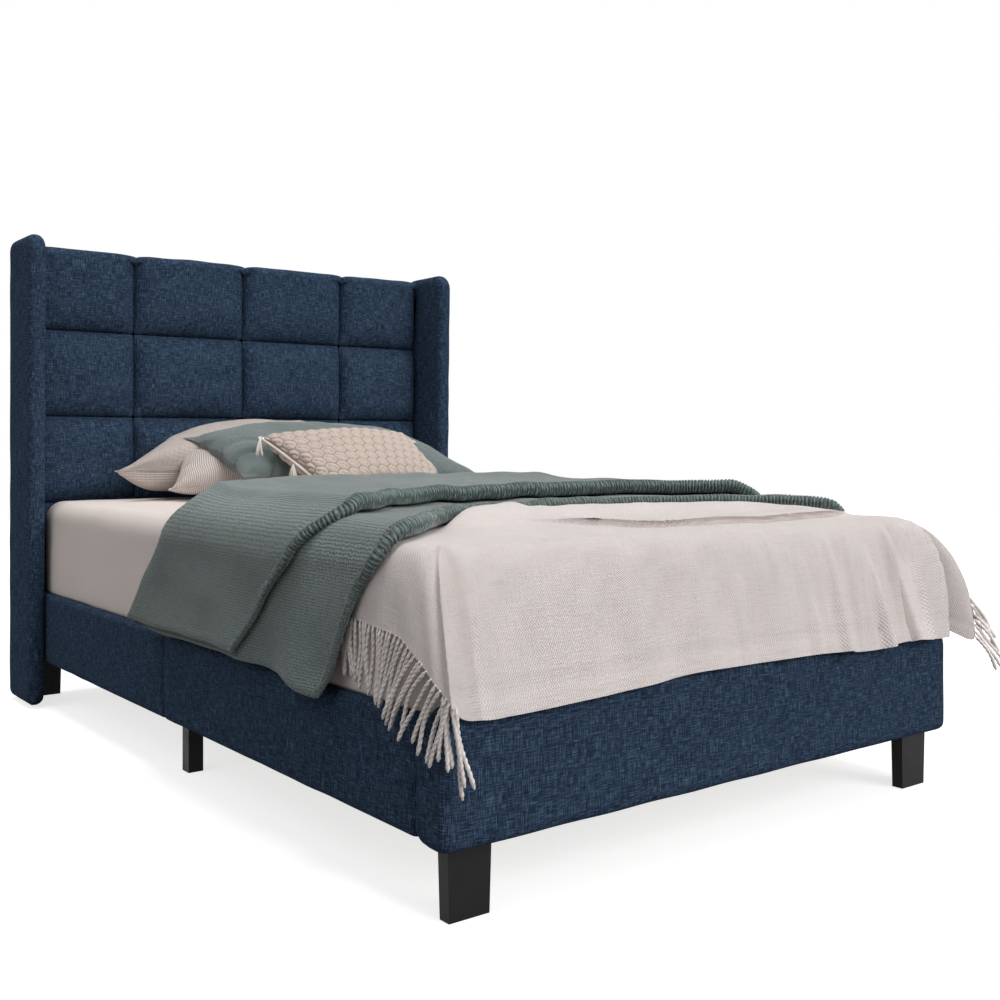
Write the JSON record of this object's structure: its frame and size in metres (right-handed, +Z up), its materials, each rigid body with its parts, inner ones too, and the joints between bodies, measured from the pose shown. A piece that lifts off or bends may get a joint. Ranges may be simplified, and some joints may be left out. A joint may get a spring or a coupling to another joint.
{
  "type": "upholstered bed",
  "caption": "Upholstered wing-back platform bed with a square-tufted headboard, slatted base and straight legs, dressed with mattress, sheet, folded duvet, fringed throw and pillows.",
  "frame": {"origin": "on the floor, under the middle of the whole object's box", "axes": "+X to the right seen from the foot, +Y towards the headboard, +Z up"},
  "size_m": [1.35, 2.065, 1.257],
  "materials": {
    "navy_linen": "coarse woven linen look, matte",
    "plywood": "raw",
    "pine": "raw",
    "black_dust_cloth": "thin non-woven",
    "black_leg": "satin",
    "black_steel": "satin",
    "zinc_steel": "zinc plated",
    "mattress_ticking": "knitted ticking",
    "beige_cotton": "smooth cotton",
    "oat_throw": "soft brushed weave with twisted fringe",
    "green_waffle": "small waffle weave",
    "beige_stripe": "seersucker stripe",
    "cream_knit": "chunky quilted knit"
  },
  "bodies": {
    "root": {"beam_joint_plates": "black_steel", "beam_saddle_foot": "black_steel", "beam_saddle_head": "black_steel", "centre_beam_foot": "pine", "centre_beam_head": "pine", "centre_post_foot": "black_leg", "centre_post_head": "black_leg", "centre_post_middle": "black_leg", "corner_block_left": "pine", "corner_block_right": "pine", "duvet": "green_waffle", "fitted_sheet": "beige_cotton", "foot_board": "pine", "foot_leg_left": "black_leg", "foot_leg_right": "black_leg", "foot_pad": "navy_linen", "frame_bolts": "zinc_steel", "headboard_back_cloth": "black_dust_cloth", "headboard_cross_rail_bottom": "pine", "headboard_cross_rail_top": "pine", "headboard_front_board": "plywood", "headboard_hanger_left": "black_steel", "headboard_hanger_right": "black_steel", "headboard_lower_pad": "navy_linen", "headboard_stile_left": "pine", "headboard_stile_right": "pine", "headboard_tuft_row_1": "navy_linen", "headboard_tuft_row_2": "navy_linen", "headboard_tuft_row_3": "navy_linen", "headboard_tuft_row_4": "navy_linen", "leg_studs": "zinc_steel", "mattress": "mattress_ticking", "pillow_back": "beige_stripe", "pillow_front": "beige_stripe", "pillow_green": "green_waffle", "pillow_knit": "cream_knit", "plate_bolts": "zinc_steel", "rail_board_left_foot": "pine", "rail_board_left_head": "pine", "rail_board_right_foot": "pine", "rail_board_right_head": "pine", "rail_joint_plate_left": "black_steel", "rail_joint_plate_right": "black_steel", "rail_pad_left_foot": "navy_linen", "rail_pad_left_head": "navy_linen", "rail_pad_right_foot": "navy_linen", "rail_pad_right_head": "navy_linen", "rear_leg_left": "black_leg", "rear_leg_right": "black_leg", "side_post_left": "black_leg", "side_post_right": "black_leg", "slat_ledges_left": "pine", "slat_ledges_right": "pine", "slat_roll_foot": "pine", "slat_roll_head": "pine", "throw_blanket": "oat_throw", "wing_board_left": "plywood", "wing_board_right": "plywood", "wing_pad_left": "navy_linen", "wing_pad_right": "navy_linen"}
  },
  "joints": []
}
